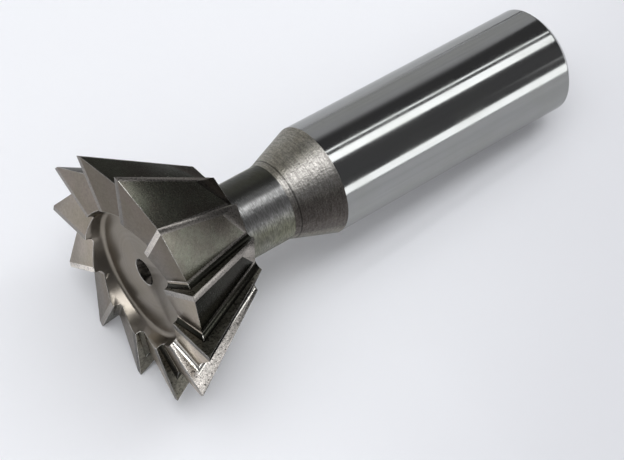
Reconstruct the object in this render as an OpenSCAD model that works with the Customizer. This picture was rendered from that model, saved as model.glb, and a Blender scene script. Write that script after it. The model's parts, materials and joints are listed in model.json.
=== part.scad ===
// Dovetail cutter: a toothed head, a slim neck, a taper and a plain round shank,
// made in one piece. It is drawn upright, with the tooth tips at zero and the
// shank above them, and then laid down as it rests on a table: on two tooth
// tips and on the rim of the shank end, with the front at low X.

/* [Head] */
// Diameter over the tooth tips
cutter_d = 45; // [42:0.5:50]
// Angle between the end face and the flank edges
dovetail_angle = 60; // [56:1:64]
// Length of the head
head_l = 18.3; // [15:0.1:19]
// Number of teeth
teeth = 12; // [11:1:13]

/* [Shank] */
// Overall length
overall_l = 90; // [86:1:120]
// Shank diameter
shank_d = 20; // [18:0.5:22]
// Length of the shank, with its chamfer
shank_l = 52; // [40:1:54]
// Chamfer at the shank end
shank_chamfer = 1; // [0.5:0.1:2]

/* [Neck] */
// Neck diameter
neck_d = 13.8; // [12:0.2:15]
// Length of the taper between neck and shank
taper_l = 8.8; // [6:0.2:10]
// Radius that blends the neck into the taper
taper_blend_r = 4; // [2:0.5:6]
// Radius in the corner behind the head
head_blend_r = 1.5; // [0.8:0.1:2]

/* [Front recess] */
// Diameter of the recess at its mouth
recess_d = 25.2; // [24:0.2:26]
// Depth of the recess
recess_depth = 3.2; // [2.8:0.1:4]
// Angle between the recess wall and the axis
recess_lean = 15; // [10:1:20]
// Radius around the recess floor
recess_blend_r = 1; // [0.6:0.1:1.4]

/* [Centre holes] */
// Mouth diameter of the countersinks
centre_mouth_d = 4.8; // [4:0.1:6]
// Full angle of the countersinks
centre_angle = 60; // [60:5:90]
// Diameter of the pilot holes
centre_pilot_d = 2.2; // [1.6:0.1:3]
// Depth of the pilot holes below the mouth
centre_depth = 5.5; // [4.5:0.1:8]

/* [Flank teeth] */
// Width of the land behind each flank edge
flank_land_w = 1.1; // [0.8:0.1:1.4]
// Relief angle of the flank land
flank_relief = 9; // [6:1:12]
// Slope of the tooth backs, from the tangent at the flank edge
back_angle = 37; // [35:1:40]
// Radius in the bottom of the flank gullets
flank_gullet_r = 1; // [0.6:0.1:1.2]
// Length of the facet that clears the rear corner of each tooth back
rear_facet_l = 4.2; // [3:0.2:5]

/* [End teeth] */
// Width of the land behind each end edge
end_land_w = 1; // [0.8:0.1:1.4]
// Relief angle of the end land
end_relief = 5; // [4:1:8]
// Slope of the end faces behind the land
end_angle = 15; // [13:1:17]
// Radius in the bottom of the end gullets
end_gullet_r = 0.8; // [0.6:0.1:1]

/* [Hidden] */
$fn = 96;
steel = [0.62, 0.61, 0.58];
// How far a cut runs past the surface that it opens
over = 0.6;
// Stock left on the turned head, which the teeth are cut from
stock = 0.3;

tip_r = cutter_d / 2;
shank_r = shank_d / 2;
neck_r = neck_d / 2;
recess_r = recess_d / 2;
pitch = 360 / teeth;

// The flank edges lean in from the axis, from the tips to the rear of the head
flank_lean = 90 - dovetail_angle;
rear_r = tip_r - head_l * tan(flank_lean);
shank_start = overall_l - shank_l;
taper_start = shank_start - taper_l;
taper_lean = atan((shank_r - neck_r) / taper_l);

// How far each land drops over its width
flank_drop = flank_land_w * tan(flank_relief);
end_drop = end_land_w * tan(end_relief);

// A tooth back falls from the heel of its land to the face of the next tooth.
// It meets that face at this radius, where the flank edge is at radius r.
function gullet_r_at(r) = (r - flank_drop + flank_land_w * tan(back_angle))
    / (cos(pitch) + sin(pitch) * tan(back_angle));
gullet_front_r = gullet_r_at(tip_r);
gullet_rear_r = gullet_r_at(rear_r);
gullet_lean = atan((gullet_front_r - gullet_rear_r) / head_l);
// Angle between that face and the back, square to the gullet
back_turn = 90 - back_angle + pitch;
flank_open = atan2(sin(back_turn), cos(back_turn) * cos(gullet_lean));

// The rear facet runs through the rear end of the flank edge, the rear end of
// the gullet, and the heel of the land at rear_facet_l from the rear. These are
// its corners as seen from the face of the next tooth.
facet_heel_x = rear_r + rear_facet_l * tan(flank_lean) - flank_drop;
facet_edge = [rear_r * cos(pitch), -rear_r * sin(pitch), head_l];
facet_root = [gullet_rear_r, 0, head_l];
facet_heel = [
    facet_heel_x * cos(pitch) + flank_land_w * sin(pitch),
    flank_land_w * cos(pitch) - facet_heel_x * sin(pitch),
    head_l - rear_facet_l];
facet_normal = cross(facet_edge - facet_root, facet_heel - facet_root);
facet_lean = atan2(facet_normal.z, facet_normal.x);
facet_open = atan2(norm([facet_normal.x, facet_normal.z]), facet_normal.y);

// The end gullets rise outwards along the face of the next tooth
end_lean = atan(sin(pitch) * tan(end_angle));
end_start = end_drop - end_land_w * tan(end_angle);
end_open = atan2(cos(pitch) * cos(end_angle),
    sin(end_angle) * cos(end_lean) - sin(pitch) * cos(end_angle) * sin(end_lean));

// At rest the cutter stands on the tip of one tooth and the heel of the next
heel_x = tip_r - flank_drop;
heel_r = norm([heel_x, flank_land_w]);
heel_turn = atan2(flank_land_w, heel_x);
rest_turn = atan2(
    tip_r * cos(pitch / 2) - heel_r * cos(pitch / 2 - heel_turn),
    tip_r * sin(pitch / 2) + heel_r * sin(pitch / 2 - heel_turn));
rest_drop = tip_r * cos(pitch / 2 + rest_turn);
rest_tilt = atan((rest_drop - shank_r) / (overall_l - shank_chamfer));
first_tooth = pitch / 2 + rest_turn - 90;
// Its lowest and highest places along X and Y before it is centred
low_x = -rest_drop * sin(rest_tilt);
high_x = overall_l * cos(rest_tilt) + (shank_r - shank_chamfer) * sin(rest_tilt);
sides = [for (i = [0:teeth - 1]) each [
    tip_r * cos(first_tooth + i * pitch),
    heel_r * cos(first_tooth + heel_turn + i * pitch)]];

// Half of the turned blank, radius against height
module blank_section() {
    blend_l = taper_blend_r * tan(taper_lean / 2);
    head_corner = [neck_r + head_blend_r, head_l + head_blend_r];
    polygon([
        [0, -stock], [tip_r + stock, -stock], [rear_r + stock, head_l],
        [neck_r, head_l], [neck_r, taper_start], [shank_r, shank_start],
        [shank_r, overall_l - shank_chamfer], [shank_r - shank_chamfer, overall_l],
        [0, overall_l]]);
    // Round corner behind the head
    difference() {
        translate([neck_r - over, head_l - over]) square(head_blend_r + over);
        translate(head_corner) circle(r = head_blend_r);
    }
    // Blend from the neck into the taper
    difference() {
        polygon([
            [0, taper_start - blend_l], [neck_r, taper_start - blend_l],
            [neck_r + blend_l * sin(taper_lean), taper_start + blend_l * cos(taper_lean)],
            [0, taper_start + blend_l * cos(taper_lean)]]);
        translate([neck_r + taper_blend_r, taper_start - blend_l]) circle(r = taper_blend_r);
    }
}

module blank() {
    rotate_extrude() blank_section();
}

module front_recess() {
    below = stock + over;
    straight = recess_depth - recess_blend_r;
    flat_r = recess_r - straight * tan(recess_lean) - recess_blend_r / cos(recess_lean);
    rotate_extrude() {
        polygon([
            [0, -below], [recess_r + below * tan(recess_lean), -below],
            [flat_r + recess_blend_r * cos(recess_lean), straight + recess_blend_r * sin(recess_lean)],
            [flat_r, recess_depth], [0, recess_depth]]);
        translate([flat_r, straight]) circle(r = recess_blend_r);
    }
}

// Countersink and pilot, opening downwards at zero
module centre_hole() {
    sink_l = (centre_mouth_d - centre_pilot_d) / 2 / tan(centre_angle / 2);
    over_r = over * tan(centre_angle / 2);
    cylinder(h = centre_depth, d = centre_pilot_d);
    translate([0, 0, -over])
        cylinder(h = sink_l + over, r1 = centre_mouth_d / 2 + over_r, r2 = centre_pilot_d / 2);
}

// Section of a gullet: the tooth face runs along x, the back turns away from it
// to the negative side by the angle open, and the corner is round
module notch(open, corner_r, reach) {
    tangent = corner_r / tan(open / 2);
    back = [cos(open), -sin(open)];
    polygon([[tangent, 0], [reach, 0], [reach, -reach], reach * back, tangent * back]);
    translate([tangent, -corner_r]) circle(r = corner_r);
}

// Section of the cut that slopes a land: it drops from the edge, and also runs
// past the edge on the side of the tooth face
module slope(drop, width, reach) {
    polygon([[0, 0], [0, -over], [reach, -over], [reach, width], [-drop, width]]);
}

module flank_gullet() {
    reach = tip_r * sin(pitch) + over;
    before = reach * tan(gullet_lean) + over;
    rotate([0, 0, pitch]) translate([gullet_front_r, 0, 0]) rotate([0, -gullet_lean, 0])
        translate([0, 0, -before])
            linear_extrude(height = before + (head_l + over) / cos(gullet_lean))
                notch(flank_open, flank_gullet_r, reach);
}

module rear_facet() {
    reach = rear_r * sin(pitch) + over;
    rotate([0, 0, pitch]) translate(facet_root) rotate([0, -facet_lean, 0])
        translate([0, 0, -reach])
            linear_extrude(height = reach + over)
                notch(facet_open, flank_gullet_r, reach);
}

module flank_land() {
    before = 2 * stock + over;
    translate([tip_r, 0, 0]) rotate([0, -flank_lean, 0]) translate([0, 0, -before])
        linear_extrude(height = 2 * before + head_l / cos(flank_lean))
            slope(2 * flank_drop * cos(flank_lean), 2 * flank_land_w, stock + over);
}

module end_gullet() {
    reach = tip_r * sin(pitch) + over;
    rotate([0, 0, pitch]) translate([0, 0, end_start]) rotate([0, 90 - end_lean, 0])
        translate([0, 0, recess_r / 2])
            linear_extrude(height = tip_r + over - recess_r / 2)
                notch(end_open, end_gullet_r, reach);
}

module end_land() {
    rotate([0, 90, 0]) translate([0, 0, recess_r / 2])
        linear_extrude(height = tip_r + stock + over - recess_r / 2)
            slope(2 * end_drop, 2 * end_land_w, stock + over);
}

module tooth_space() {
    flank_gullet();
    rear_facet();
    flank_land();
    end_gullet();
    end_land();
}

module upright_cutter() {
    difference() {
        blank();
        front_recess();
        translate([0, 0, recess_depth]) centre_hole();
        translate([0, 0, overall_l]) rotate([180, 0, 0]) centre_hole();
        for (i = [0:teeth - 1]) rotate([0, 0, i * pitch]) tooth_space();
    }
}

module cutter() {
    color(steel)
        translate([-(low_x + high_x) / 2, -(min(sides) + max(sides)) / 2, rest_drop * cos(rest_tilt)])
            rotate([0, rest_tilt, 0]) rotate([90, 0, 90])
                rotate([0, 0, first_tooth]) upright_cutter();
}

cutter();
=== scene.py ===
"""Dovetail cutter: one piece of tool steel, lying on a pale table.

The head keeps its solid's shape and gets rounded edges. The neck, taper and
shank are turned again on a finer lathe mesh, with their tool marks cut in.
"""

import json
import math

import bmesh
import bpy
from mathutils import Matrix, Vector


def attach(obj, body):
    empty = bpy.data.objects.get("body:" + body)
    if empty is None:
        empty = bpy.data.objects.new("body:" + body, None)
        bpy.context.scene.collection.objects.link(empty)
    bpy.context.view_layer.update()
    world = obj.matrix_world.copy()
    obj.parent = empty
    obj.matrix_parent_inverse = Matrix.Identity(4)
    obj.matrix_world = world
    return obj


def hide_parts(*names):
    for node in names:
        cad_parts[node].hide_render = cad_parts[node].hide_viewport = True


MM = 0.001

# Sizes along the cutter, in millimetres from the tooth tips
HEAD_L = 18.3
REAR_FACET_L = 4.2
TAPER_FROM = 29.2
SHANK_FROM = 38.0
OVERALL_L = 90.0
SHANK_L = OVERALL_L - SHANK_FROM
SHANK_CHAMFER = 1.0
NECK_R = 6.9
TAPER_BLEND_R = 4.0
RECESS_R = 12.6
RECESS_DEPTH = 3.2
FLANK_LEAN = math.radians(30)
CENTRE_MOUTH_R = 2.4
CENTRE_PILOT_R = 1.1
CENTRE_DEPTH = 5.5
CENTRE_LEAN = math.radians(30)

# Angle of the first tooth's space round the axis, from just before its face, in teeth
TOOTH_TURN = 2.6211
# The draws of each tooth's brightness on its surfaces: painted light and shade, set tooth by tooth
# for how each one is lit
FACE_DRAW, BACK_DRAW, LAND_DRAW, FACET_DRAW = 885027, 5336549, 1592326, 5119848
END_LAND_DRAW, END_FACE_DRAW = 704561, 5784581
# Directions round the axis of the painted shade on the neck and on the taper, and of the side
# between them where the highlight falls and their colour gets a neutral painted highlight tint
NECK_PAINTED_SHADE = math.radians(72.0)
HIGHLIGHT_SIDE = math.radians(115.0)
TAPER_PAINTED_SHADE = math.radians(163.6)

# Where the lathe mesh takes over from the head, on the neck
LATHE_FROM = 20.2
LATHE_SIDES = 192
# Fine rows on the neck and the taper, for their tool marks
FINE_ROW = 0.09
# Two fine grooves that the tool left where the neck runs into the taper
RING_GROOVES = (29.05, 30.25)
RING_GROOVE_W = 0.1
RING_GROOVE_DEPTH = 0.04
# Radius of the broken edges, and the straight kept on both sides of a round
EDGE_R = 0.07
EDGE_HOLD = 0.15
# Faces that turn less than this are one face
FLAT = math.radians(0.3)
# Edges sharper than this are broken
SHARP = math.radians(30)
# Length over which the tool marks begin and end
MARKS_FADE = 0.4

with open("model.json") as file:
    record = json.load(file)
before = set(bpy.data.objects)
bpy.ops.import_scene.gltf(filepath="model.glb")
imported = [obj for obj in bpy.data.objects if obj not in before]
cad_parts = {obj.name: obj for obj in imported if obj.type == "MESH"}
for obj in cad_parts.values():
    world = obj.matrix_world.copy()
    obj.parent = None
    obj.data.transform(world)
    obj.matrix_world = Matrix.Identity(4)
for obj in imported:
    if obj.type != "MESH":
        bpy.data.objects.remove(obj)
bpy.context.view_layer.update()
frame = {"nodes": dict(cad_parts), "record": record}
mount = frame["record"]["mounts"][0]
AXIS = Vector(mount["axis"]).normalized()
SHANK_R = mount["dims"]["r_mm"]
TIP = Vector(mount["pos_m"]) - AXIS * (SHANK_FROM + (SHANK_L - SHANK_CHAMFER) / 2) * MM
TILT = math.atan2(-AXIS.z, AXIS.x)
# Turns the cutter's own frame, with its axis along X, into the scene's frame
LAID = Matrix.Translation(TIP) @ Matrix.Rotation(TILT, 4, "Y")


# Node helpers

def feed(tree, socket, value):
    """Links a node's output to an input, or sets the input to a plain value."""
    if isinstance(value, bpy.types.NodeSocket):
        tree.links.new(value, socket)
    else:
        socket.default_value = value


def add(tree, kind, settings=None, **inputs):
    """Adds a node, sets its properties, and sets or links its inputs."""
    node = tree.nodes.new(kind)
    for key, value in (settings or {}).items():
        setattr(node, key, value)
    for key, value in inputs.items():
        feed(tree, find_input(node, key), value)
    return node


def find_input(node, key):
    """An input by its name, with _ for a space, or by in0, in1 and so on for its place."""
    if key.startswith("in") and key[2:].isdigit():
        return node.inputs[int(key[2:])]
    name = key.replace("_", " ")
    return next(s for s in node.inputs if s.name == name and s.enabled)


def maths(tree, operation, *values):
    """The result of a Math node."""
    inputs = {f"in{i}": v for i, v in enumerate(values)}
    return add(tree, "ShaderNodeMath", {"operation": operation}, **inputs).outputs[0]


def remap(tree, value, low, high, to_low=0.0, to_high=1.0):
    """The value moved from one range to another, with both ends held."""
    node = add(tree, "ShaderNodeMapRange", {"interpolation_type": "SMOOTHSTEP"},
               Value=value, From_Min=low, From_Max=high, To_Min=to_low, To_Max=to_high)
    return node.outputs["Result"]


def blend(tree, factor, first, second, how="MIX"):
    """Two colours mixed by a factor."""
    node = add(tree, "ShaderNodeMix", {"data_type": "RGBA", "blend_type": how},
               in0=factor, in6=first, in7=second)
    return node.outputs[2]


def rgba(r, g, b):
    return (r, g, b, 1.0)


def new_group(name, inputs, outputs):
    """A shader node group with its sockets, and its input and output nodes."""
    group = bpy.data.node_groups.new(name, "ShaderNodeTree")
    for label, kind, value in inputs:
        socket = group.interface.new_socket(label, in_out="INPUT", socket_type=kind)
        socket.default_value = value
    for label, kind in outputs:
        group.interface.new_socket(label, in_out="OUTPUT", socket_type=kind)
    return group, group.nodes.new("NodeGroupInput"), group.nodes.new("NodeGroupOutput")


FLOAT, COLOUR, VECTOR = "NodeSocketFloat", "NodeSocketColor", "NodeSocketVector"


def cutter_place():
    """Places on the cutter in millimetres: along its axis from the tips, and across it."""
    group, _, out = new_group(
        "cutter_place", [], [("Place", VECTOR), ("Along", FLOAT), ("Radius", FLOAT)])
    place = add(group, "ShaderNodeTexCoord").outputs["Object"]
    turned = add(group, "ShaderNodeMapping", {"vector_type": "TEXTURE"}, Vector=place,
                 Location=TIP, Rotation=(0.0, TILT, 0.0), Scale=(MM, MM, MM)).outputs[0]
    split = add(group, "ShaderNodeSeparateXYZ", Vector=turned)
    across = add(group, "ShaderNodeCombineXYZ",
                 Y=split.outputs["Y"], Z=split.outputs["Z"]).outputs[0]
    radius = add(group, "ShaderNodeVectorMath", {"operation": "LENGTH"},
                 in0=across).outputs["Value"]
    group.links.new(turned, out.inputs["Place"])
    group.links.new(split.outputs["X"], out.inputs["Along"])
    group.links.new(radius, out.inputs["Radius"])
    return group


PLACE = cutter_place()


def material(name):
    """A new material with its tree emptied, and its Principled shader."""
    mat = bpy.data.materials.new(name)
    mat.use_nodes = True
    tree = mat.node_tree
    tree.nodes.clear()
    shader = tree.nodes.new("ShaderNodeBsdfPrincipled")
    out = tree.nodes.new("ShaderNodeOutputMaterial")
    tree.links.new(shader.outputs["BSDF"], out.inputs["Surface"])
    return mat, tree, shader


def node_group(tree, group, **inputs):
    """A group node with its inputs set or linked; returns its outputs."""
    return add(tree, "ShaderNodeGroup", {"node_tree": group}, **inputs).outputs


def place_in(tree):
    """Where a point of the surface lies on the cutter."""
    return node_group(tree, PLACE)


def streaks_group():
    """Streaks that run round the axis or along it: a noise drawn out by its two lengths."""
    group, inside, out = new_group("drawn_streaks", [
        ("Place", VECTOR, (0, 0, 0)), ("Along Axis", FLOAT, 0.2), ("Across Axis", FLOAT, 3.0),
        ("Seed", FLOAT, 0.0)], [("Value", FLOAT)])
    split = add(group, "ShaderNodeSeparateXYZ", Vector=inside.outputs["Place"])
    along = maths(group, "DIVIDE", split.outputs["X"], inside.outputs["Along Axis"])
    y = maths(group, "DIVIDE", split.outputs["Y"], inside.outputs["Across Axis"])
    z = maths(group, "DIVIDE", split.outputs["Z"], inside.outputs["Across Axis"])
    drawn = add(group, "ShaderNodeCombineXYZ", X=along, Y=y, Z=z).outputs[0]
    noise = add(group, "ShaderNodeTexNoise", {"noise_dimensions": "4D"}, Vector=drawn,
                W=inside.outputs["Seed"], Scale=1.0, Detail=3.0, Roughness=0.6)
    group.links.new(remap(group, noise.outputs[0], 0.25, 0.75), out.inputs["Value"])
    return group


def grain_group():
    """Even grain or soft blotches, by its size in millimetres."""
    group, inside, out = new_group("even_grain", [
        ("Place", VECTOR, (0, 0, 0)), ("Size", FLOAT, 0.3), ("Seed", FLOAT, 0.0)],
        [("Value", FLOAT)])
    scale = maths(group, "DIVIDE", 1.0, inside.outputs["Size"])
    noise = add(group, "ShaderNodeTexNoise", {"noise_dimensions": "4D"},
                Vector=inside.outputs["Place"], W=inside.outputs["Seed"],
                Scale=scale, Detail=2.0, Roughness=0.55)
    group.links.new(remap(group, noise.outputs[0], 0.28, 0.72), out.inputs["Value"])
    return group


def pits_group():
    """Small round pits: a mask that is one inside a pit, for a share of evenly spread places."""
    group, inside, out = new_group("small_pits", [
        ("Place", VECTOR, (0, 0, 0)), ("Spacing", FLOAT, 0.6), ("Radius", FLOAT, 0.12),
        ("Share", FLOAT, 0.5)], [("Mask", FLOAT)])
    scale = maths(group, "DIVIDE", 1.0, inside.outputs["Spacing"])
    cells = add(group, "ShaderNodeTexVoronoi", Vector=inside.outputs["Place"], Scale=scale)
    distance = maths(group, "MULTIPLY", cells.outputs["Distance"], inside.outputs["Spacing"])
    pit = maths(group, "LESS_THAN", distance, inside.outputs["Radius"])
    chance = add(group, "ShaderNodeSeparateColor", Color=cells.outputs["Color"]).outputs[0]
    chosen = maths(group, "LESS_THAN", chance, inside.outputs["Share"])
    group.links.new(maths(group, "MULTIPLY", pit, chosen), out.inputs["Mask"])
    return group


def tooth_group():
    """A value of its own for each tooth, drawn from a seed, for the painted light and shade of each
    tooth.
    """
    group, inside, out = new_group("each_tooth", [
        ("Place", VECTOR, (0, 0, 0)), ("Teeth", FLOAT, 12.0), ("Turn", FLOAT, 0.0),
        ("Seed", FLOAT, 0.0)], [("Value", FLOAT)])
    split = add(group, "ShaderNodeSeparateXYZ", Vector=inside.outputs["Place"])
    angle = maths(group, "ARCTAN2", split.outputs["Z"], split.outputs["Y"])
    turns = maths(group, "DIVIDE", angle, 2 * math.pi)
    step = maths(group, "MULTIPLY_ADD", turns, inside.outputs["Teeth"], inside.outputs["Turn"])
    number = maths(group, "FLOORED_MODULO", maths(group, "FLOOR", step), inside.outputs["Teeth"])
    chance = add(group, "ShaderNodeTexWhiteNoise", {"noise_dimensions": "2D"}, Vector=add(
        group, "ShaderNodeCombineXYZ", X=number, Y=inside.outputs["Seed"]).outputs[0])
    group.links.new(chance.outputs["Value"], out.inputs["Value"])
    return group


def side_group():
    """A soft mask on one side of the cutter, round a direction about its axis."""
    group, inside, out = new_group("one_side", [
        ("Place", VECTOR, (0, 0, 0)), ("Direction", FLOAT, 0.0), ("Full Within", FLOAT, 0.35),
        ("None Beyond", FLOAT, 0.6)], [("Mask", FLOAT)])
    split = add(group, "ShaderNodeSeparateXYZ", Vector=inside.outputs["Place"])
    angle = maths(group, "ARCTAN2", split.outputs["Z"], split.outputs["Y"])
    away = maths(group, "ABSOLUTE", maths(group, "WRAP", maths(
        group, "SUBTRACT", angle, inside.outputs["Direction"]), math.pi, -math.pi))
    near = remap(group, away, inside.outputs["Full Within"], inside.outputs["None Beyond"],
                 1.0, 0.0)
    group.links.new(near, out.inputs["Mask"])
    return group


STREAKS = streaks_group()
GRAIN = grain_group()
PITS = pits_group()
TOOTH = tooth_group()
SIDE = side_group()


def drawn_streaks(tree, place, along, across, seed):
    """Streaks of a length along the axis and a length across it, in millimetres."""
    return node_group(
        tree, STREAKS, Place=place, Along_Axis=along, Across_Axis=across, Seed=seed)["Value"]


def even_grain(tree, place, size, seed):
    """Grain or blotches of a size in millimetres."""
    return node_group(tree, GRAIN, Place=place, Size=size, Seed=seed)["Value"]


def small_pits(tree, place, spacing, radius, share):
    """A mask of pits, by their spacing and radius in millimetres and the share that is there."""
    return node_group(
        tree, PITS, Place=place, Spacing=spacing, Radius=radius, Share=share)["Mask"]


def one_side(tree, place, direction, full_within, none_beyond):
    """A mask on one side of the cutter: full within one angle of a direction, none past another."""
    return node_group(
        tree, SIDE, Place=place, Direction=direction,
        Full_Within=full_within, None_Beyond=none_beyond)["Mask"]


# Steel finishes

def tone(tree, value, low, high):
    """A grey factor for a colour, from a value between zero and one."""
    return remap(tree, value, 0.0, 1.0, low, high)


def toned(tree, colour, factor):
    """A colour made lighter or darker by a factor."""
    grey = add(tree, "ShaderNodeCombineColor", Red=factor, Green=factor, Blue=factor).outputs[0]
    return blend(tree, 1.0, colour, grey, "MULTIPLY")


def tooth_tone(tree, place, draw, low, middle, high):
    """A tooth's own brightness factor, painted light and shade for how its faces are lit, and the
    draw that it comes from.
    """
    own = node_group(tree, TOOTH, Place=place, Turn=TOOTH_TURN, Seed=float(draw))["Value"]
    lower = remap(tree, own, 0.0, 0.5, low, middle)
    upper = remap(tree, own, 0.5, 1.0, 0.0, high - middle)
    return maths(tree, "ADD", lower, upper), own


def bump(tree, height, distance):
    """A bumped normal for a height, over a distance in metres."""
    return add(tree, "ShaderNodeBump", Height=height, Distance=distance, Strength=1.0).outputs[0]


def finish_steel(tree, shader, colour, roughness, normal=None, edge_tint=0.8, spread=0.0):
    """Links a metal's colour, roughness and normal, and sets how it reflects at its edges."""
    shader.inputs["Metallic"].default_value = 1.0
    shader.inputs["Specular Tint"].default_value = rgba(edge_tint, edge_tint, edge_tint)
    shader.inputs["Anisotropic"].default_value = spread
    for name, value in (("Base Color", colour), ("Roughness", roughness), ("Normal", normal)):
        if value is not None:
            feed(tree, shader.inputs[name], value)
    if spread:
        way = add(tree, "ShaderNodeCombineXYZ", X=AXIS.x, Y=AXIS.y, Z=AXIS.z).outputs[0]
        tree.links.new(way, shader.inputs["Tangent"])


def ground_shank():
    """Bright ground steel: faint draw lines along it, a few specks, faint handling stains."""
    mat, tree, shader = material("ground_shank")
    place = place_in(tree)["Place"]
    drawn = drawn_streaks(tree, place, 26.0, 0.7, seed=3.0)
    blotch = even_grain(tree, place, 6.0, seed=5.0)
    speck = small_pits(tree, place, 1.5, 0.1, 0.16)
    colour = blend(tree, blotch, rgba(0.335, 0.338, 0.332), rgba(0.322, 0.326, 0.312))
    colour = toned(tree, colour, tone(tree, drawn, 0.96, 1.03))
    colour = blend(tree, speck, colour, rgba(0.2, 0.2, 0.2))
    rough = tone(tree, blotch, 0.1, 0.14)
    fine = drawn_streaks(tree, place, 0.12, 8.0, seed=1.0)
    finish_steel(tree, shader, colour, rough, bump(tree, fine, 0.0000012))
    return mat


def turned_taper():
    """Turned steel with fine rings, two dark grooves, and a coarse speckle left by its scale, with
    painted shade on one side and a neutral painted highlight tint where the highlight falls.
    """
    mat, tree, shader = material("turned_taper")
    outputs = place_in(tree)
    place = outputs["Place"]
    rings = drawn_streaks(tree, place, 0.24, 2.5, seed=2.0)
    speckle = even_grain(tree, place, 0.3, seed=7.0)
    blotch = even_grain(tree, place, 4.0, seed=4.0)
    # Painted shade: the taper darker, with a pinker tint, on one side
    painted_shade = one_side(tree, place, TAPER_PAINTED_SHADE, 0.3, 0.65)
    colour = blend(tree, blotch, rgba(0.276, 0.265, 0.228), rgba(0.256, 0.238, 0.193))
    # Painted highlight tint: the colour made neutral on the side where the highlight falls
    highlight_tint = one_side(tree, place, HIGHLIGHT_SIDE, 0.25, 0.6)
    colour = blend(tree, highlight_tint, colour, rgba(0.28, 0.266, 0.246))
    colour = blend(tree, painted_shade, colour, rgba(0.26, 0.232, 0.208))
    colour = toned(tree, colour, tone(tree, speckle, 0.82, 1.18))
    colour = toned(tree, colour, tone(tree, painted_shade, 1.0, 0.5))
    colour = toned(tree, colour, tone(tree, rings, 0.78, 1.22))
    for groove in RING_GROOVES:
        away = maths(tree, "ABSOLUTE", maths(tree, "SUBTRACT", outputs["Along"], groove))
        colour = toned(tree, colour, remap(tree, away, 0.06, 0.2, 0.45, 1.0))
    rough = tone(tree, speckle, 0.44, 0.34)
    height = maths(tree, "MULTIPLY_ADD", rings, 0.25, speckle)
    finish_steel(tree, shader, colour, rough, bump(tree, height, 0.00003), spread=0.4)
    return mat


def turned_neck():
    """Turned steel with broken bright rings, stained olive in patches, with painted shade on one
    side and a neutral painted highlight tint where the highlight falls.
    """
    mat, tree, shader = material("turned_neck")
    place = place_in(tree)["Place"]
    rings = drawn_streaks(tree, place, 0.2, 1.0, seed=6.0)
    blotch = even_grain(tree, place, 3.5, seed=9.0)
    # Painted shade: the neck darker on one side
    painted_shade = one_side(tree, place, NECK_PAINTED_SHADE, 0.44, 0.64)
    colour = blend(tree, blotch, rgba(0.256, 0.252, 0.218), rgba(0.222, 0.222, 0.164))
    # Painted highlight tint: the colour made neutral on the side where the highlight falls
    highlight_tint = one_side(tree, place, HIGHLIGHT_SIDE, 0.3, 0.7)
    colour = blend(tree, highlight_tint, colour, rgba(0.272, 0.268, 0.262))
    # The rings show less where the painted shade lies
    ring_contrast = maths(tree, "MULTIPLY_ADD", maths(tree, "SUBTRACT", rings, 0.5),
                 tone(tree, painted_shade, 1.0, 0.2), 0.5)
    colour = toned(tree, colour, tone(tree, ring_contrast, 0.74, 1.26))
    colour = toned(tree, colour, tone(tree, painted_shade, 1.05, 0.3))
    rough = tone(tree, rings, 0.48, 0.37)
    finish_steel(tree, shader, colour, rough, bump(tree, rings, 0.000042), spread=0.8)
    return mat


def milled_flute():
    """Dark milled and blackened steel, mottled, with short cutter marks, a painted brightness for
    each tooth, and a pitted painted highlight on the teeth drawn brightest.
    """
    mat, tree, shader = material("milled_flute")
    place = place_in(tree)["Place"]
    mottle = even_grain(tree, place, 0.55, seed=1.0)
    blotch = even_grain(tree, place, 5.0, seed=2.0)
    marks = drawn_streaks(tree, place, 3.0, 0.35, seed=8.0)
    speck = small_pits(tree, place, 0.9, 0.1, 0.12)
    colour = blend(tree, blotch, rgba(0.15, 0.152, 0.12), rgba(0.118, 0.106, 0.088))
    own, draw = tooth_tone(tree, place, BACK_DRAW, 0.25, 1.2, 1.8)
    colour = toned(tree, colour, tone(tree, mottle, 0.94, 1.06))
    colour = toned(tree, colour, tone(tree, marks, 0.92, 1.08))
    colour = toned(tree, colour, own)
    colour = blend(tree, speck, colour, rgba(0.22, 0.21, 0.19))
    # Painted highlight: a pale, pitted colour on the backs of the teeth drawn brightest
    pits = small_pits(tree, place, 0.42, 0.12, 0.4)
    bright = blend(tree, pits, rgba(0.75, 0.72, 0.66), rgba(0.16, 0.15, 0.13))
    colour = blend(tree, remap(tree, draw, 0.85, 0.9), colour, bright)
    rough = tone(tree, mottle, 0.28, 0.25)
    finish_steel(tree, shader, colour, rough, bump(tree, marks, 0.000003), edge_tint=0.6)
    return mat


def tooth_face():
    """The ground tooth faces: dark, with a painted brightness for each tooth, or on the teeth drawn
    brightest a pitted painted highlight that is paler in front.
    """
    mat, tree, shader = material("tooth_face")
    outputs = place_in(tree)
    place = outputs["Place"]
    dull, draw = tooth_tone(tree, place, FACE_DRAW, 1.0, 1.2, 1.6)
    # Painted highlight on the teeth drawn brightest, paler toward the tips
    bright = remap(tree, draw, 0.8, 0.95)
    mottle = even_grain(tree, place, 0.5, seed=15.0)
    speckle = even_grain(tree, place, 0.2, seed=16.0)
    fine = small_pits(tree, place, 0.42, 0.13, 0.5)
    coarse = small_pits(tree, place, 1.1, 0.22, 0.3)
    dark = toned(tree, rgba(0.165, 0.156, 0.128), tone(tree, mottle, 0.75, 1.25))
    dark = toned(tree, dark, dull)
    pale = toned(tree, rgba(0.44, 0.41, 0.378), remap(tree, outputs["Along"], 0.0, 15.0, 1.1, 0.3))
    pale = toned(tree, pale, tone(tree, speckle, 0.55, 1.4))
    pale = blend(tree, maths(tree, "MAXIMUM", fine, coarse), pale, rgba(0.05, 0.047, 0.042))
    colour = blend(tree, bright, dark, pale)
    rough = tone(tree, mottle, 0.26, 0.34)
    finish_steel(tree, shader, colour, rough, bump(tree, mottle, 0.000006))
    return mat


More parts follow.
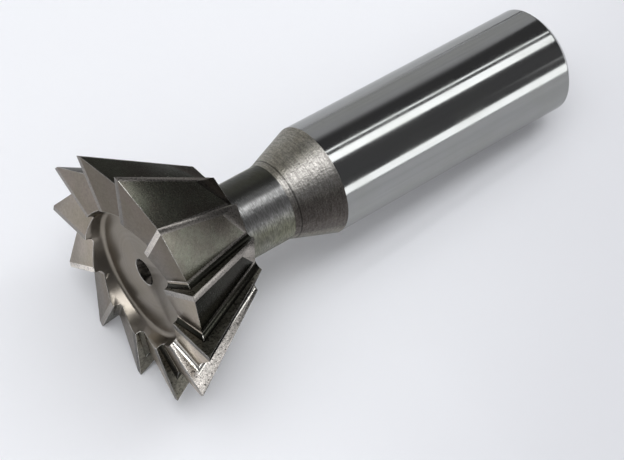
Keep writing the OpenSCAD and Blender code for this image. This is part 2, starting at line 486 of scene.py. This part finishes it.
def ground_strip(name, draw, low, middle, high, edge_tint):
    """A ground land: each tooth has its own painted brightness for how its land is lit, and the
    bright ones show pits.
    """
    mat, tree, shader = material(name)
    place = place_in(tree)["Place"]
    own, draw = tooth_tone(tree, place, draw, low, middle, high)
    mottle = even_grain(tree, place, 0.3, seed=3.0)
    pit = small_pits(tree, place, 0.42, 0.09, 0.35)
    colour = toned(tree, rgba(0.302, 0.28, 0.255), own)
    colour = toned(tree, colour, tone(tree, mottle, 0.85, 1.15))
    deep = maths(tree, "MULTIPLY", pit, remap(tree, draw, 0.6, 0.9))
    colour = blend(tree, deep, colour, rgba(0.07, 0.065, 0.06))
    rough = tone(tree, mottle, 0.26, 0.36)
    finish_steel(tree, shader, colour, rough, bump(tree, mottle, 0.000008), edge_tint)
    return mat


def flank_land():
    return ground_strip("flank_land", LAND_DRAW, 0.15, 0.75, 1.3, 0.3)


def rear_facet():
    return ground_strip("rear_facet", FACET_DRAW, 0.15, 0.75, 1.6, 0.3)


def end_land():
    return ground_strip("end_land", END_LAND_DRAW, 0.4, 1.2, 3.2, 0.8)


def end_face():
    """The sloping end faces: grey brown, with faint lines from the grinding wheel, and a painted
    brightness for each tooth for how its face is lit.
    """
    mat, tree, shader = material("end_face")
    place = place_in(tree)["Place"]
    own, draw = tooth_tone(tree, place, END_FACE_DRAW, 0.95, 1.4, 3.2)
    mottle = even_grain(tree, place, 0.45, seed=6.0)
    blotch = even_grain(tree, place, 4.5, seed=8.0)
    lines = drawn_streaks(tree, place, 2.0, 0.22, seed=4.0)
    pit = small_pits(tree, place, 0.5, 0.13, 0.45)
    colour = blend(tree, blotch, rgba(0.178, 0.153, 0.13), rgba(0.158, 0.14, 0.112))
    colour = toned(tree, colour, own)
    colour = toned(tree, colour, tone(tree, mottle, 0.95, 1.05))
    colour = toned(tree, colour, tone(tree, lines, 0.94, 1.06))
    deep = maths(tree, "MULTIPLY", pit, remap(tree, draw, 0.88, 0.97))
    colour = blend(tree, deep, colour, rgba(0.07, 0.062, 0.052))
    finish_steel(tree, shader, colour, tone(tree, mottle, 0.36, 0.3), bump(tree, lines, 0.000004))
    return mat


def faced(name, first, second, roughness):
    """A face turned on the lathe: smooth steel with faint rings round the axis."""
    mat, tree, shader = material(name)
    outputs = place_in(tree)
    rings = add(tree, "ShaderNodeTexNoise", {"noise_dimensions": "1D"}, W=outputs["Radius"],
                Scale=2.2, Detail=1.0, Roughness=0.5).outputs[0]
    blotch = even_grain(tree, outputs["Place"], 5.0, seed=11.0)
    colour = toned(tree, blend(tree, blotch, first, second), tone(tree, rings, 0.93, 1.07))
    finish_steel(tree, shader, colour, roughness, bump(tree, rings, 0.000004))
    return mat


def front_recess():
    return faced("front_recess", rgba(0.27, 0.241, 0.208), rgba(0.25, 0.222, 0.182), 0.28)


def head_rear():
    return faced("head_rear", rgba(0.2, 0.192, 0.165), rgba(0.17, 0.16, 0.135), 0.34)


def shank_end():
    return faced("shank_end", rgba(0.33, 0.33, 0.325), rgba(0.3, 0.3, 0.29), 0.22)


def centre_hole():
    """The drilled and countersunk holes: steel with painted shade, near black inside."""
    mat, tree, shader = material("centre_hole")
    # Painted shade: the hole near black, in soft blotches
    shade_blotch = even_grain(tree, place_in(tree)["Place"], 0.8, seed=14.0)
    colour = blend(tree, shade_blotch, rgba(0.02, 0.018, 0.015), rgba(0.09, 0.08, 0.068))
    finish_steel(tree, shader, colour, 0.22)
    return mat


def worn_edge_and_sheen():
    """The broken edges, rubbed brighter than the faces beside them, and partly a painted highlight
    along them.
    """
    mat, tree, shader = material("worn_edge_and_sheen")
    place = place_in(tree)["Place"]
    # Wear and painted highlight: the edges pale in soft patches
    rub_and_sheen = even_grain(tree, place, 1.6, seed=10.0)
    colour = blend(tree, rub_and_sheen, rgba(0.26, 0.25, 0.23), rgba(0.62, 0.6, 0.56))
    finish_steel(tree, shader, colour, 0.25)
    return mat


FINISHES = {build.__name__: build() for build in (
    ground_shank, turned_taper, turned_neck, milled_flute, tooth_face, flank_land, rear_facet,
    end_land, end_face, front_recess, head_rear, shank_end, centre_hole, worn_edge_and_sheen)}


# The head

# How far from a surface of the head, in millimetres, a face may still lie
NEAR = 0.05
# How far the round corner behind the head reaches out from the neck
CORNER_REACH = 1.6
# Depth below which everything near the axis is the centre hole
HOLE_FROM = RECESS_DEPTH + 1.0
# Depth that the front recess and its turned edges stay within
RECESS_TO = 6.0
# How far faces lean along the axis, as the cosine of the angle
SQUARE, LAND_LEAN, END_LEAN, ALONG_AXIS = 0.99, 0.985, 0.9, 0.01
# How far a tooth face leans outward, and how well a land matches the flank's slope
ACROSS_AXIS, FLANK_MATCH = 0.03, 0.95


def own_place(point):
    """Distance along the axis in millimetres, and the offset from the axis."""
    offset = (point - TIP) / MM
    along = offset.dot(AXIS)
    return along, offset - AXIS * along


def finish_of(face):
    """Names the finish of a face of the head by where it lies and how it leans."""
    along, across = own_place(face.calc_center_median())
    radius = across.length
    outward = across.normalized() if radius > 1e-6 else Vector()
    lean = face.normal.dot(AXIS)
    if along > HEAD_L - NEAR and lean > SQUARE:
        return "head_rear"
    if along > HEAD_L - NEAR and radius < NECK_R + CORNER_REACH:
        return "turned_neck"
    if radius < CENTRE_MOUTH_R and (abs(lean) < END_LEAN or along > HOLE_FROM):
        return "centre_hole"
    if radius < RECESS_R + NEAR and along < RECESS_TO:
        return "front_recess"
    if lean < -LAND_LEAN:
        return "end_land"
    if lean < -END_LEAN:
        return "end_face"
    if abs(lean) < ALONG_AXIS and abs(face.normal.dot(outward)) < ACROSS_AXIS:
        return "tooth_face"
    flank = outward * math.cos(FLANK_LEAN) + AXIS * math.sin(FLANK_LEAN)
    if face.normal.dot(flank) > FLANK_MATCH:
        return "flank_land" if along < HEAD_L - REAR_FACET_L else "rear_facet"
    return "milled_flute"


def solid_copy():
    """The solid's mesh with its doubles merged and its flat faces made whole."""
    bm = bmesh.new()
    bm.from_mesh(frame["nodes"]["cutter"].data)
    bmesh.ops.remove_doubles(bm, verts=bm.verts, dist=1e-6)
    bmesh.ops.dissolve_limit(bm, angle_limit=FLAT, verts=bm.verts, edges=bm.edges, delimit=set())
    return bm


def cut_head():
    """The head and the start of the neck, cut from the solid's copy, with their finishes set."""
    bm = solid_copy()
    everything = bm.verts[:] + bm.edges[:] + bm.faces[:]
    cut_at = TIP + AXIS * (LATHE_FROM - FINE_ROW) * MM
    bmesh.ops.bisect_plane(bm, geom=everything, dist=1e-7, plane_co=cut_at, plane_no=AXIS,
                           clear_outer=True)
    names = list(FINISHES)
    bm.normal_update()
    for face in bm.faces:
        face.material_index = names.index(finish_of(face))
    return bm


def rounded(points):
    """An outline with its corners rounded, and a held straight on both sides of each."""
    result = [points[0]]
    for before, corner, after in zip(points, points[1:], points[2:]):
        back = (before - corner).normalized()
        on = (after - corner).normalized()
        turn = math.pi - back.angle(on)
        reach = EDGE_R * math.tan(turn / 2)
        sink = EDGE_R * (1 / math.cos(turn / 2) - 1)
        result += [corner + back * (reach + EDGE_HOLD), corner + back * reach,
                   corner + (back + on).normalized() * sink,
                   corner + on * reach, corner + on * (reach + EDGE_HOLD)]
    return result + [points[-1]]


def neck_radius(along):
    """Radius of the neck and the blend into the taper, with the two ring grooves."""
    lean = math.atan2(SHANK_R - NECK_R, SHANK_FROM - TAPER_FROM)
    blend_from = TAPER_FROM - TAPER_BLEND_R * math.tan(lean / 2)
    blend_to = blend_from + TAPER_BLEND_R * math.sin(lean)
    radius = NECK_R
    if along > blend_to:
        radius = NECK_R + (along - TAPER_FROM) * math.tan(lean)
    elif along > blend_from:
        radius = NECK_R + TAPER_BLEND_R - math.sqrt(TAPER_BLEND_R ** 2 - (along - blend_from) ** 2)
    for groove in RING_GROOVES:
        radius -= RING_GROOVE_DEPTH * math.exp(-((along - groove) / RING_GROOVE_W) ** 2)
    return radius


def lathe_outline():
    """The turned part of the cutter: distance along the axis and radius, point by point."""
    fine_to = SHANK_FROM - 3 * FINE_ROW
    rows = round((fine_to - LATHE_FROM) / FINE_ROW)
    fine = [LATHE_FROM + i * (fine_to - LATHE_FROM) / rows for i in range(rows + 1)]
    neck = [Vector((along, neck_radius(along))) for along in fine]
    sink = (CENTRE_MOUTH_R - CENTRE_PILOT_R) / math.tan(CENTRE_LEAN)
    rest = rounded([Vector(p) for p in (
        neck[-1],
        (SHANK_FROM, SHANK_R),
        (OVERALL_L - SHANK_CHAMFER, SHANK_R),
        (OVERALL_L, SHANK_R - SHANK_CHAMFER),
        (OVERALL_L, CENTRE_MOUTH_R),
        (OVERALL_L - sink, CENTRE_PILOT_R),
        (OVERALL_L - CENTRE_DEPTH, CENTRE_PILOT_R),
        (OVERALL_L - CENTRE_DEPTH, 0.0))])
    return neck + rest[1:]


def turn_rear(bm):
    """Turns the neck, taper and shank on the lathe and joins them to the head's cut neck."""
    open_edges = [e for e in bm.edges if e.is_boundary]
    names = list(FINISHES)
    outline = lathe_outline()
    rings = []
    angles = [2 * math.pi * i / LATHE_SIDES for i in range(LATHE_SIDES)]
    for along, radius in outline[:-1]:
        points = [Vector((along, radius * math.cos(a), radius * math.sin(a))) for a in angles]
        rings.append([bm.verts.new(LAID @ (point * MM)) for point in points])
    for row, (ring, after) in enumerate(zip(rings, rings[1:])):
        middle = (outline[row].x + outline[row + 1].x) / 2
        finish = "turned_neck" if middle < TAPER_FROM else "turned_taper"
        if middle > SHANK_FROM:
            finish = "ground_shank"
        if middle > OVERALL_L - EDGE_HOLD:
            finish = "shank_end"
        if row > len(outline) // 2 and outline[row].y < CENTRE_MOUTH_R - EDGE_HOLD:
            finish = "centre_hole"
        for i in range(LATHE_SIDES):
            j = (i + 1) % LATHE_SIDES
            face = bm.faces.new((ring[i], after[i], after[j], ring[j]))
            face.material_index = names.index(finish)
    pole = bm.verts.new(LAID @ (Vector((outline[-1].x, 0, 0)) * MM))
    for i in range(LATHE_SIDES):
        face = bm.faces.new((rings[-1][i], pole, rings[-1][(i + 1) % LATHE_SIDES]))
        face.material_index = names.index("centre_hole")
    first = [bm.edges.get((rings[0][i], rings[0][(i + 1) % LATHE_SIDES]))
             for i in range(LATHE_SIDES)]
    joined = bmesh.ops.bridge_loops(bm, edges=open_edges + first)
    for face in joined["faces"]:
        face.material_index = names.index("turned_neck")
    bmesh.ops.recalc_face_normals(bm, faces=bm.faces)


def marks_tree():
    """Geometry nodes that cut shallow tool marks round the axis, between two places along it."""
    tree = bpy.data.node_groups.new("turning_marks", "GeometryNodeTree")
    tree.is_modifier = True
    for label, kind, value in (
            ("Geometry", "NodeSocketGeometry", None), ("Depth", FLOAT, 0.01),
            ("Pitch", FLOAT, 0.25), ("Length", FLOAT, 3.0), ("From", FLOAT, 0.0),
            ("To", FLOAT, 1.0), ("Seed", FLOAT, 0.0), ("Finish", "NodeSocketMaterial", None)):
        socket = tree.interface.new_socket(label, in_out="INPUT", socket_type=kind)
        if value is not None:
            socket.default_value = value
    tree.interface.new_socket("Geometry", in_out="OUTPUT", socket_type="NodeSocketGeometry")
    inside = tree.nodes.new("NodeGroupInput").outputs
    out = tree.nodes.new("NodeGroupOutput")

    place = add(tree, "GeometryNodeInputPosition").outputs[0]
    offset = add(tree, "ShaderNodeVectorMath", {"operation": "SUBTRACT"},
                 in0=place, in1=TIP).outputs[0]
    run = add(tree, "ShaderNodeVectorMath", {"operation": "DOT_PRODUCT"},
              in0=offset, in1=AXIS).outputs["Value"]
    axial = add(tree, "ShaderNodeVectorMath", {"operation": "SCALE"},
                in0=AXIS, Scale=run).outputs[0]
    across = add(tree, "ShaderNodeVectorMath", {"operation": "SUBTRACT"},
                 in0=offset, in1=axial).outputs[0]
    outward = add(tree, "ShaderNodeVectorMath", {"operation": "NORMALIZE"}, in0=across).outputs[0]

    along = maths(tree, "DIVIDE", run, MM)
    split = add(tree, "ShaderNodeSeparateXYZ", Vector=across)
    length = maths(tree, "MULTIPLY", inside["Length"], MM)
    drawn = add(tree, "ShaderNodeCombineXYZ", X=maths(tree, "DIVIDE", along, inside["Pitch"]),
                Y=maths(tree, "DIVIDE", split.outputs["Y"], length),
                Z=maths(tree, "DIVIDE", split.outputs["Z"], length)).outputs[0]
    noise = add(tree, "ShaderNodeTexNoise", {"noise_dimensions": "4D"}, Vector=drawn,
                W=inside["Seed"], Scale=1.0, Detail=1.0, Roughness=0.5).outputs[0]
    begun = remap(tree, along, inside["From"], maths(tree, "ADD", inside["From"], MARKS_FADE))
    ended = remap(tree, along, inside["To"], maths(tree, "SUBTRACT", inside["To"], MARKS_FADE))
    share = maths(tree, "MULTIPLY", begun, ended)
    sink = maths(tree, "MULTIPLY", maths(tree, "MULTIPLY", noise, share), inside["Depth"])
    move = add(tree, "ShaderNodeVectorMath", {"operation": "SCALE"}, in0=outward,
               Scale=maths(tree, "MULTIPLY", sink, -MM)).outputs[0]
    cut = add(tree, "GeometryNodeSetPosition", Geometry=inside["Geometry"], Offset=move)
    real = add(tree, "GeometryNodeRealizeInstances", Geometry=cut.outputs[0])
    finished = add(tree, "GeometryNodeSetMaterial", Geometry=real.outputs[0],
                   Material=inside["Finish"],
                   Selection=maths(tree, "GREATER_THAN", share, 0.001))
    tree.links.new(finished.outputs[0], out.inputs[0])
    return tree


def add_marks(body, tree, name, **values):
    """Adds the tool marks to a body, with the tree's inputs set by name."""
    marks = body.modifiers.new(name, "NODES")
    marks.node_group = tree
    for item in tree.interface.items_tree:
        if item.in_out == "INPUT" and item.name in values:
            marks[item.identifier] = values[item.name]


def make_cutter():
    """The dressed cutter: head and turned rear in one, with tool marks and broken edges."""
    bm = cut_head()
    turn_rear(bm)
    for face in bm.faces:
        face.smooth = True
    mesh = bpy.data.meshes.new("cutter_body")
    bm.to_mesh(mesh)
    bm.free()
    for finish in FINISHES.values():
        mesh.materials.append(finish)
    body = bpy.data.objects.new("cutter_body", mesh)
    bpy.context.scene.collection.objects.link(body)
    tree = marks_tree()
    add_marks(body, tree, "neck_marks", Depth=0.022, Pitch=0.33, Length=1.6,
              From=LATHE_FROM, To=TAPER_FROM, Seed=3.0, Finish=FINISHES["turned_neck"])
    add_marks(body, tree, "taper_marks", Depth=0.005, Pitch=0.22, Length=5.0,
              From=TAPER_FROM, To=SHANK_FROM, Seed=5.0, Finish=FINISHES["turned_taper"])
    edges = body.modifiers.new("broken_edges", "BEVEL")
    edges.width = EDGE_R * MM
    edges.segments = 2
    edges.limit_method = "ANGLE"
    edges.angle_limit = SHARP
    edges.harden_normals = True
    edges.use_clamp_overlap = False
    edges.material = list(FINISHES).index("worn_edge_and_sheen")
    depsgraph = bpy.context.evaluated_depsgraph_get()
    finished = bpy.data.meshes.new_from_object(
        body.evaluated_get(depsgraph), preserve_all_data_layers=True, depsgraph=depsgraph)
    body.modifiers.clear()
    body.data = finished
    finished.name = "cutter_body"
    return body


body = make_cutter()
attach(body, "root")
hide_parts("cutter")


# Camera

CAMERA_AT = Vector((-0.117, -0.1316, 0.2959))
CAMERA_VIEW = Vector((0.3251, 0.3831, -0.8646))
CAMERA_ROLL = math.radians(3.53)
CAMERA_LENS = 110.64


def make_camera():
    """The camera, looking down on the head and along the cutter."""
    data = bpy.data.cameras.new("camera")
    data.sensor_width = 36.0
    data.lens = CAMERA_LENS
    data.clip_start, data.clip_end = 0.01, 20.0
    camera = bpy.data.objects.new("camera", data)
    bpy.context.scene.collection.objects.link(camera)
    aim = CAMERA_VIEW.to_track_quat("-Z", "Y").to_matrix().to_4x4()
    roll = Matrix.Rotation(CAMERA_ROLL, 4, "Z")
    camera.matrix_world = Matrix.Translation(CAMERA_AT) @ aim @ roll
    bpy.context.scene.camera = camera


make_camera()


# Table and light

# Height of the ceiling cards and lamps, and how brightly the cards glow
CEILING = 0.7
DARK, FRONT_DARK, PALE = 0.075, 0.12, 0.6
# Half the table's side
TABLE_HALF = 3.0
CORNERS = [(-1, -1), (1, -1), (1, 1), (-1, 1)]
DOWN = (0, 0, -1)


def along_way(tree, way, low, high, low_value, high_value):
    """A value that changes smoothly between two places along a way, in metres from the middle."""
    place = add(tree, "ShaderNodeTexCoord").outputs["Object"]
    run = add(tree, "ShaderNodeVectorMath", {"operation": "DOT_PRODUCT"},
              in0=place, in1=way).outputs["Value"]
    return remap(tree, run, low, high, low_value, high_value)


def emitter(name, strength, way=(0, 1, 0), fade=None):
    """A glowing material; with fade, its strength runs to another value between two places."""
    mat = bpy.data.materials.new(name)
    mat.use_nodes = True
    tree = mat.node_tree
    tree.nodes.clear()
    glow = add(tree, "ShaderNodeEmission", Color=rgba(0.95, 0.955, 1.0), Strength=strength)
    if fade:
        start, stop, other = fade
        tree.links.new(along_way(tree, way, start, stop, strength, other), glow.inputs["Strength"])
    out = tree.nodes.new("ShaderNodeOutputMaterial")
    tree.links.new(glow.outputs[0], out.inputs["Surface"])
    return mat


def facing_frame(centre, facing, along):
    """A frame at a point whose Z is the way it faces and whose X runs along a given way."""
    z = Vector(facing).normalized()
    x = (Vector(along) - z * Vector(along).dot(z)).normalized()
    turn = Matrix((x, z.cross(x), z)).transposed().to_4x4()
    return Matrix.Translation(centre) @ turn


def panel(name, centre, facing, along, length, width, mat):
    """A flat rectangle that only mirror-like reflections see."""
    place = facing_frame(centre, facing, along)
    corners = [place @ Vector((x * length / 2, y * width / 2, 0)) for x, y in CORNERS]
    mesh = bpy.data.meshes.new(name)
    mesh.from_pydata(corners, [], [(0, 1, 2, 3)])
    mesh.materials.append(mat)
    card = bpy.data.objects.new(name, mesh)
    bpy.context.scene.collection.objects.link(card)
    card.visible_camera = card.visible_diffuse = card.visible_shadow = False
    card.visible_transmission = card.visible_volume_scatter = False
    return card


def make_table():
    """A plain pale table, with painted shade that makes it a little darker toward the front right.
    """
    mesh = bpy.data.meshes.new("table")
    mesh.from_pydata([(x * TABLE_HALF, y * TABLE_HALF, 0) for x, y in CORNERS], [], [(0, 1, 2, 3)])
    mat, tree, shader = material("table_top")
    # Painted shade: the table darker toward the front right
    front = along_way(tree, (0.6, -0.8, 0.0), -0.005, 0.06, 0.0, 1.0)
    pale = blend(tree, front, rgba(0.895, 0.896, 0.92), rgba(0.717, 0.716, 0.741))
    tree.links.new(pale, shader.inputs["Base Color"])
    shader.inputs["Roughness"].default_value = 0.7
    shader.inputs["Specular IOR Level"].default_value = 0.2
    mesh.materials.append(mat)
    table = bpy.data.objects.new("table", mesh)
    bpy.context.scene.collection.objects.link(table)


def strip_lamp(name, centre, facing, along, length, width, radiance):
    """A rectangular lamp of a given brightness, not seen by the camera."""
    data = bpy.data.lights.new(name, "AREA")
    data.shape = "RECTANGLE"
    data.size, data.size_y = length, width
    data.energy = radiance * math.pi * length * width
    data.color = (0.96, 0.98, 1.0)
    lamp = bpy.data.objects.new(name, data)
    bpy.context.scene.collection.objects.link(lamp)
    lamp.matrix_world = facing_frame(centre, -Vector(facing), along)
    lamp.visible_camera = False
    return lamp


def toward(azimuth, elevation, distance):
    """A point seen from the origin at that compass angle from X and height."""
    a, e = math.radians(azimuth), math.radians(elevation)
    return Vector((math.cos(a) * math.cos(e), math.sin(a) * math.cos(e), math.sin(e))) * distance


make_table()
panel("ceiling_card", (0, 0.695, CEILING + 0.02), DOWN, (1, 0, 0), 2.4, 1.81,
      emitter("ceiling_tone", DARK, fade=(0.5, 0.95, PALE)))
panel("front_ceiling_card", (0, -0.605, CEILING + 0.02), DOWN, (1, 0, 0), 2.4, 0.79,
      emitter("front_ceiling_tone", FRONT_DARK))
panel("side_card", (0.1, -1.0, 0.3), (0, 1, 0), (1, 0, 0), 1.8, 0.9,
      emitter("side_tone", FRONT_DARK))
panel("end_card", (0.26, 0.04, 0.12), (-1, 0, 0), (0, 1, 0), 0.32, 0.24,
      emitter("end_tone", DARK))
panel("end_table_card", (0.19, 0.04, 0.0004), (0, 0, 1), (1, 0, 0), 0.14, 0.32,
      emitter("end_table_tone", DARK))
panel("shade_card", (-0.054, -0.13, 0.0004), (0, 0, 1), (1, 0, 0), 0.1, 0.2,
      emitter("shade_tone", 0.22, way=(1, 0, 0), fade=(-0.014, -0.004, 0.72)))
strip_lamp("wide_strip", (0.3 * CEILING, -0.15 * CEILING, CEILING), DOWN, (1, 0, 0),
           1.6 * CEILING, 0.29 * CEILING, 3.0)
fill_lamp = strip_lamp("fill_lamp", (-0.15, 0.15, 0.65), (0.15, -0.15, -0.65), (1, 0, 0),
                       0.6, 0.35, 1.0)
fill_lamp.visible_glossy = False
strip_lamp("thin_strip", (0.3 * CEILING, 0.15 * CEILING, CEILING), DOWN, (1, 0, 0),
           1.6 * CEILING, 0.06 * CEILING, 3.0)
top_lamp = strip_lamp("top_lamp", (-0.08, 0.11, CEILING - 0.01), DOWN, (1, 0, 0),
                      0.5, 0.22, 4.2)
top_front = strip_lamp("top_front_lamp", (-0.08, -0.1, CEILING - 0.01), DOWN, (1, 0, 0),
                       0.5, 0.2, 1.5)
low_at = toward(-58, 7.9, 0.86)
low_lamp = strip_lamp("low_lamp", low_at, -low_at, (0, 0, 1), 0.195, 0.5, 2.7)
for lamp in (top_lamp, top_front, low_lamp):
    lamp.visible_diffuse = False


def make_world():
    """An even pale surround."""
    world = bpy.data.worlds.new("studio")
    bpy.context.scene.world = world
    world.use_nodes = True
    tree = world.node_tree
    tree.nodes.clear()
    back = add(tree, "ShaderNodeBackground", Color=rgba(0.97, 0.98, 1.0), Strength=PALE)
    out = tree.nodes.new("ShaderNodeOutputWorld")
    tree.links.new(back.outputs[0], out.inputs["Surface"])


make_world()
bpy.context.scene.view_settings.view_transform = "Standard"
